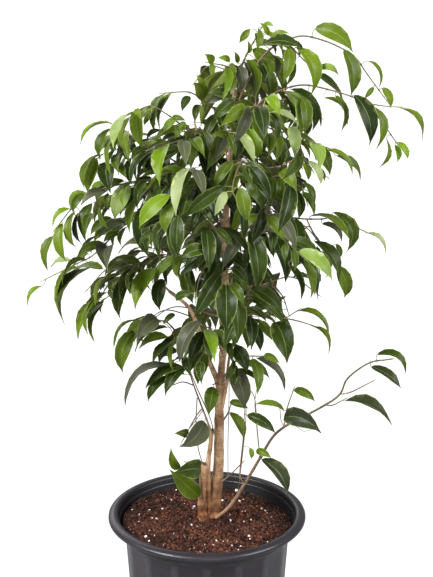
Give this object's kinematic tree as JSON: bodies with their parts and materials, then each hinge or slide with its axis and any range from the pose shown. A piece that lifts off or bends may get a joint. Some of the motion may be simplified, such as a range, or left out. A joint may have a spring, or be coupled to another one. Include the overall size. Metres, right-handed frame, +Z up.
{
  "type": "potted weeping fig",
  "caption": "Weeping fig with a slender trunk, arching leafy stems and pointed hanging leaves, standing in soil in a round nursery pot with a rolled rim.",
  "frame": {"origin": "middle of the pot's base, on the surface that the pot rests on", "axes": "+Z up, -Y towards the viewer of the picture, +X to that viewer's right"},
  "size_m": [0.5201, 0.446, 0.9585],
  "materials": {
    "pot_plastic": "satin moulded charcoal plastic",
    "potting_soil": "crumbly, dark red-brown, with white perlite grains",
    "fig_bark": "matt tan bark with dark marks",
    "fig_leaf": "glossy dark green above with a paler midrib, paler and duller below, yellow-green where young"
  },
  "bodies": {
    "root": {"pot": "pot_plastic", "soil": "potting_soil", "trunk": "fig_bark", "crown_tip_stem": "fig_leaf", "top_arch_stem": "fig_leaf", "upper_right_stem": "fig_leaf", "right_shoulder_stem": "fig_leaf", "right_centre_stem": "fig_leaf", "right_outer_stem": "fig_leaf", "right_front_stem": "fig_leaf", "right_low_stem": "fig_leaf", "right_inner_low_stem": "fig_leaf", "centre_top_stem": "fig_leaf", "centre_front_stem": "fig_leaf", "centre_low_stem": "fig_leaf", "left_centre_stem": "fig_leaf", "trunk_front_stem": "fig_leaf", "trunk_bud_leaf": "fig_leaf", "top_left_stem": "fig_leaf", "left_shoulder_stem": "fig_leaf", "left_high_stem": "fig_leaf", "left_mid_stem": "fig_leaf", "left_outer_stem": "fig_leaf", "left_low_stem": "fig_leaf", "left_branch_stem": "fig_leaf", "left_sprout_stem": "fig_leaf", "base_left_stem": "fig_leaf", "low_right_stem": "fig_leaf", "trunk_right_sprig": "fig_leaf", "back_crown_stem": "fig_leaf", "back_right_crown_stem": "fig_leaf", "back_left_crown_stem": "fig_leaf", "back_high_stem": "fig_leaf", "back_right_high_stem": "fig_leaf", "back_left_high_stem": "fig_leaf", "right_side_stem": "fig_leaf", "back_left_mid_stem": "fig_leaf", "back_mid_stem": "fig_leaf", "back_right_low_stem": "fig_leaf", "back_low_stem": "fig_leaf"}
  },
  "joints": []
}
